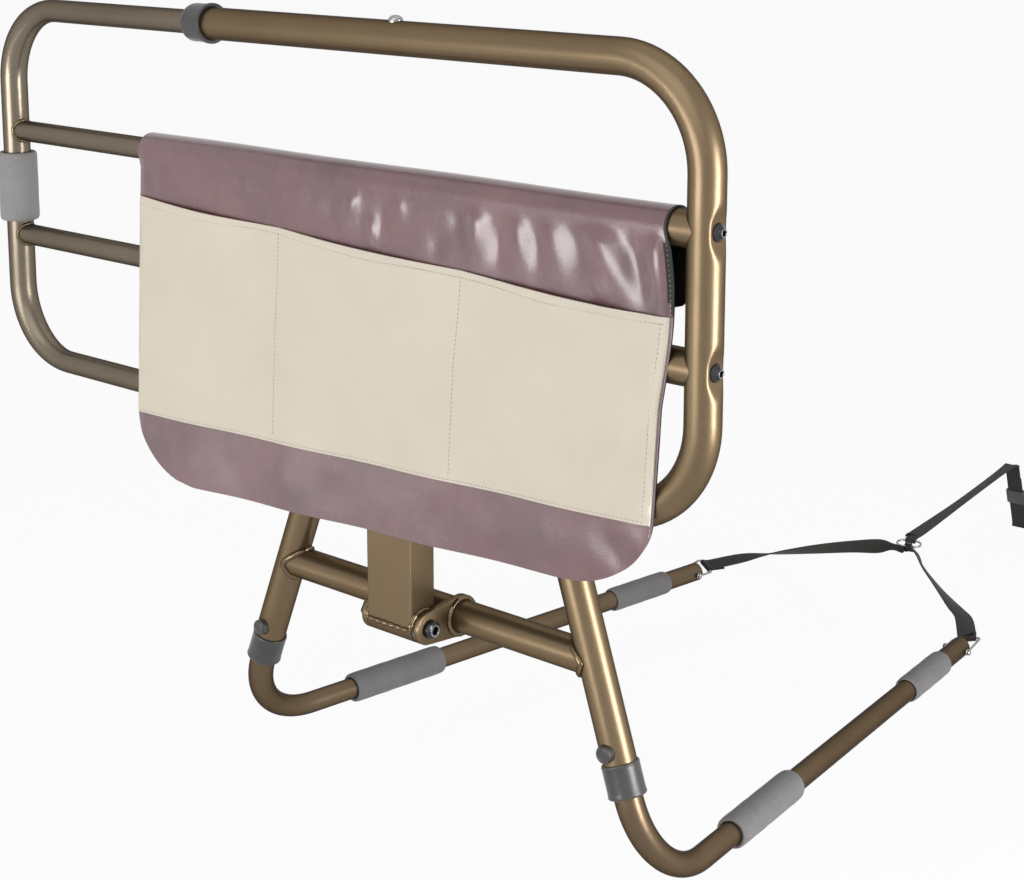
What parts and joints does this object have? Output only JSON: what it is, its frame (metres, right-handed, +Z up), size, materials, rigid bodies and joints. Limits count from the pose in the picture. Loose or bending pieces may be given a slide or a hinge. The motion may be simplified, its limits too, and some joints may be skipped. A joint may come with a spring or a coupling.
{
  "type": "bed guard rail",
  "caption": "Folding bedside guard rail with sliding extension, pocket pouch, foam grips and under-mattress legs with tie-down webbing.",
  "frame": {"origin": "on the bed base plane that the foam sleeves rest on, below the middle of the crossbar's axis", "axes": "+Z up, +X along the rail away from the sliding end, +Y under the mattress towards the far side of the bed, so the room side is -Y"},
  "size_m": [0.8701, 1.2907, 0.7709],
  "materials": {
    "frame_paint": "metallic bronze powder coat, satin",
    "slide_paint": "metallic bronze powder coat, satin",
    "bright_steel": "nickel plated wire",
    "plain_steel": "zinc plated",
    "black_steel": "black oxide",
    "dark_plastic": "moulded nylon, fine satin",
    "grey_foam": "closed-cell foam tube",
    "burgundy_vinyl": "grained vinyl, semi-gloss",
    "beige_vinyl": "fine-grained vinyl, matte",
    "black_webbing": "woven webbing"
  },
  "bodies": {
    "base": {"leg_arch": "frame_paint", "crossbar": "frame_paint", "ear_left": "frame_paint", "ear_right": "frame_paint", "leg_collar_left": "dark_plastic", "leg_collar_right": "dark_plastic", "lower_leg_left": "slide_paint", "lower_leg_right": "slide_paint", "foam_sleeve_near_left": "grey_foam", "foam_sleeve_far_left": "grey_foam", "foam_sleeve_near_right": "grey_foam", "foam_sleeve_far_right": "grey_foam", "pivot_bolt": "black_steel", "pivot_nut": "black_steel", "thrust_washer_left": "plain_steel", "thrust_washer_right": "plain_steel", "ring_rivet_left": "bright_steel", "ring_rivet_right": "bright_steel"},
    "leg_button_left": {"leg_button_left": "dark_plastic"},
    "leg_button_right": {"leg_button_right": "dark_plastic"},
    "rail": {"post": "frame_paint", "pivot_barrel": "frame_paint", "barrel_bush_left": "dark_plastic", "barrel_bush_right": "dark_plastic", "outer_loop": "frame_paint", "mid_tube_upper": "frame_paint", "mid_tube_lower": "frame_paint", "top_collar": "dark_plastic", "bush_upper": "dark_plastic", "bush_lower": "dark_plastic", "bush_bottom": "dark_plastic", "screw_upper": "black_steel", "screw_lower": "black_steel", "screw_plug_upper": "plain_steel", "screw_plug_lower": "plain_steel", "rest_clip": "dark_plastic", "clip_screw_bottom": "black_steel", "clip_screw_top": "black_steel", "pouch_cover": "burgundy_vinyl", "pouch_pocket": "beige_vinyl"},
    "length_button": {"length_button": "bright_steel"},
    "slider": {"slide_loop": "slide_paint", "slide_mid_upper": "slide_paint", "slide_mid_lower": "slide_paint", "grip_foam": "grey_foam", "glide_top": "dark_plastic", "glide_upper": "dark_plastic", "glide_lower": "dark_plastic", "glide_bottom": "dark_plastic"},
    "harness": {"wire_ring_left": "bright_steel", "wire_ring_right": "bright_steel", "bridle_strap": "black_webbing", "oval_ring": "bright_steel", "main_strap": "black_webbing"},
    "slide_buckle": {"slide_buckle": "dark_plastic"}
  },
  "joints": [
    {"name": "rail_fold", "type": "hinge", "parent": "base", "child": "rail", "pos_m": [0, -0.04, 0.196], "axis": [1, 0, 0], "range_deg": [0, 165]},
    {"name": "rail_slide", "type": "slide", "parent": "rail", "child": "slider", "axis": [-1, 0, 0], "range_m": [-0.17, 0.203]},
    {"name": "length_button_press", "type": "slide", "parent": "rail", "child": "length_button", "axis": [0, 0, -1], "range_m": [0, 0.0036], "stiffness_N_per_m": 400, "springref_m": -0.003},
    {"name": "leg_button_left_press", "type": "slide", "parent": "base", "child": "leg_button_left", "axis": [0, 0.9993, -0.038], "range_m": [0, 0.005], "stiffness_N_per_m": 400, "springref_m": -0.003},
    {"name": "leg_button_right_press", "type": "slide", "parent": "base", "child": "leg_button_right", "axis": [0, 0.9993, -0.038], "range_m": [0, 0.005], "stiffness_N_per_m": 400, "springref_m": -0.003},
    {"name": "harness_swing", "type": "hinge", "parent": "base", "child": "harness", "pos_m": [0, 0.61694, 0.01265], "axis": [1, 0, 0], "range_deg": [0, 80]},
    {"name": "buckle_slide", "type": "slide", "parent": "harness", "child": "slide_buckle", "axis": [-0.0179, 0.3363, -0.9416], "range_m": [-0.018, 0.018]}
  ]
}
